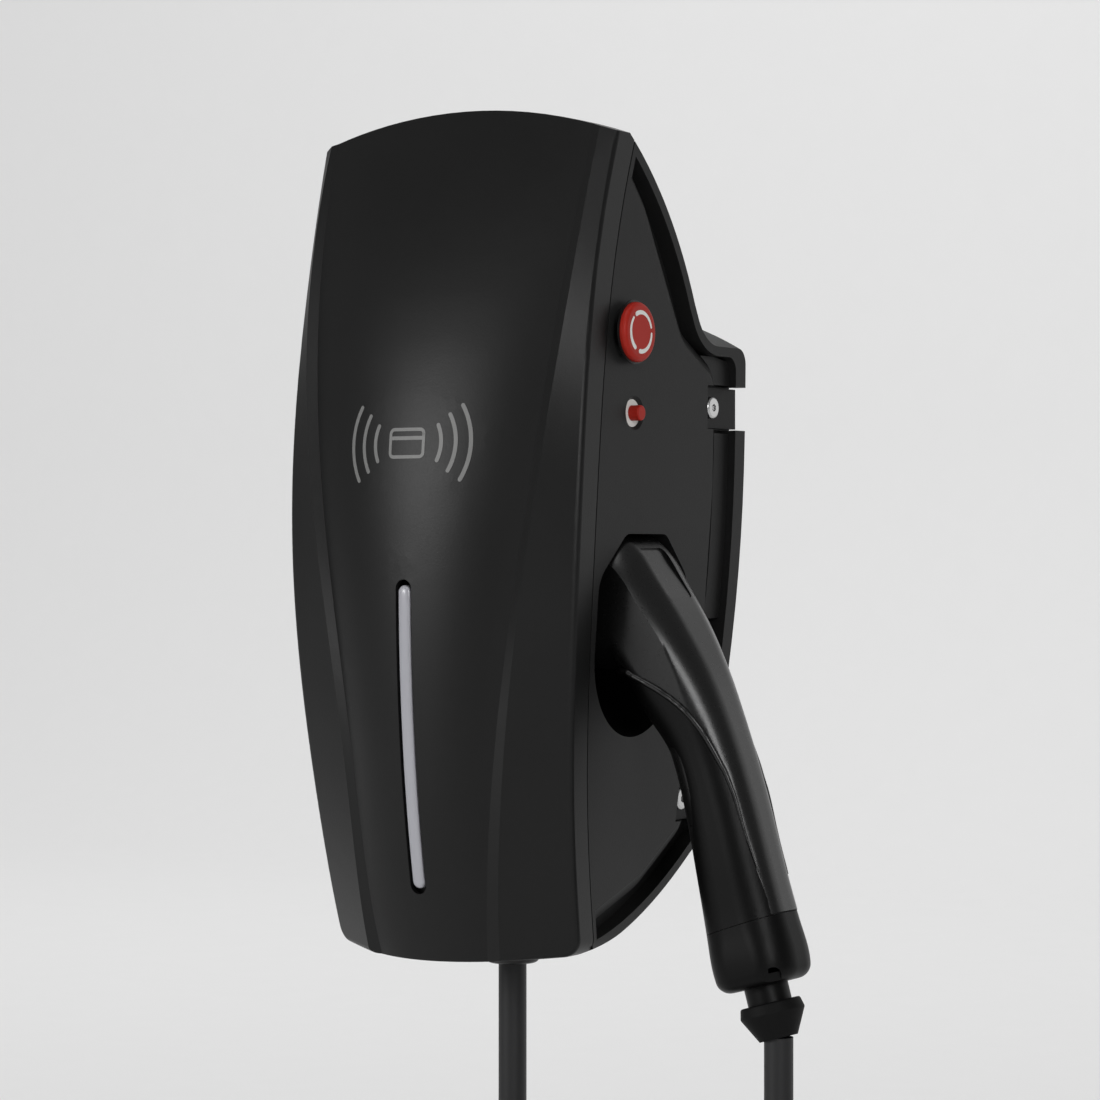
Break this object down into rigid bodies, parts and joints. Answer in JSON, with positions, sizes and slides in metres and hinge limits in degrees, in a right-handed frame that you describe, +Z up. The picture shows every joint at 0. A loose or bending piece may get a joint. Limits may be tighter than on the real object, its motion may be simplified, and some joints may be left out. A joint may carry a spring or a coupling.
{
  "type": "ev wallbox",
  "caption": "Wall-mounted electric vehicle charger with domed front cover, light bar, emergency stop, side holster, charging gun and coiled cable.",
  "frame": {"origin": "on the wall plane, at the middle of the bracket's four wall holes", "axes": "+X to the viewer's right, where the gun hangs; +Y into the wall, so the front faces -Y; +Z up"},
  "size_m": [0.2666, 0.1759, 0.7414],
  "materials": {
    "cover_plastic": "fine matt texture",
    "housing_plastic": "fine matt texture",
    "seal_rubber": "matt",
    "light_diffuser": "satin, translucent",
    "gland_plastic": "satin",
    "cable_sheath": "matt",
    "tie_fabric": "woven hook and loop",
    "gun_plastic": "satin gloss",
    "grip_plastic": "soft satin",
    "boot_rubber": "matt",
    "contact_metal": "silver plated",
    "screw_steel": "bright zinc",
    "bracket_steel": "black powder coat",
    "plate_steel": "zinc plated",
    "stop_red": "satin gloss",
    "stop_black": "satin",
    "shaft_plastic": "plain",
    "reset_red": "satin gloss",
    "reset_white": "satin",
    "module_plastic": "plain",
    "terminal_plastic": "plain",
    "brass": "plain",
    "board_green": "solder mask",
    "led_white": "clear"
  },
  "bodies": {
    "case": {"front_cover": "cover_plastic", "rear_housing": "housing_plastic", "holster_socket": "housing_plastic", "cover_seal": "seal_rubber", "gland_seal": "seal_rubber", "supply_grommet": "seal_rubber", "light_pipe": "light_diffuser", "cable_gland_body": "gland_plastic", "cable_gland_nut": "gland_plastic", "gland_locknut": "gland_plastic", "cable_coil": "cable_sheath", "box_lead": "cable_sheath", "gun_lead": "cable_sheath", "coil_ties": "tie_fabric", "gun_shell": "gun_plastic", "gun_nose": "gun_plastic", "gun_grip": "grip_plastic", "gun_end_cap": "grip_plastic", "gun_boot": "boot_rubber", "gun_contacts": "contact_metal", "ear_screws": "screw_steel", "cover_screws": "screw_steel", "socket_screws": "screw_steel", "plate_screws": "screw_steel", "board_screws": "screw_steel", "wall_bracket": "bracket_steel", "chassis_plate": "plate_steel", "stop_collar": "stop_black", "stop_nut": "stop_black", "stop_contact_block": "stop_black", "reset_switch": "stop_black", "reset_ring": "reset_white", "contactor": "module_plastic", "power_supply": "module_plastic", "current_sensor": "module_plastic", "control_board_parts": "module_plastic", "terminal_block": "terminal_plastic", "earth_bar": "brass", "control_board": "board_green", "card_reader_board": "board_green", "led_board": "board_green", "leds": "led_white"},
    "stop_plunger": {"stop_shaft": "shaft_plastic"},
    "stop_knob": {"stop_head": "stop_red"},
    "reset_plunger": {"reset_button": "reset_red"}
  },
  "joints": [
    {"name": "stop_press", "type": "slide", "parent": "case", "child": "stop_plunger", "axis": [-1, 0, 0], "range_m": [0, 0.003]},
    {"name": "stop_twist", "type": "hinge", "parent": "stop_plunger", "child": "stop_knob", "pos_m": [0.09, -0.111, 0.1034], "axis": [-1, 0, 0], "range_deg": [0, 45], "stiffness_Nm_per_rad": 0.05},
    {"name": "reset_press", "type": "slide", "parent": "case", "child": "reset_plunger", "axis": [-1, 0, 0], "range_m": [0, 0.0025], "stiffness_N_per_m": 600, "springref_m": -0.001}
  ]
}
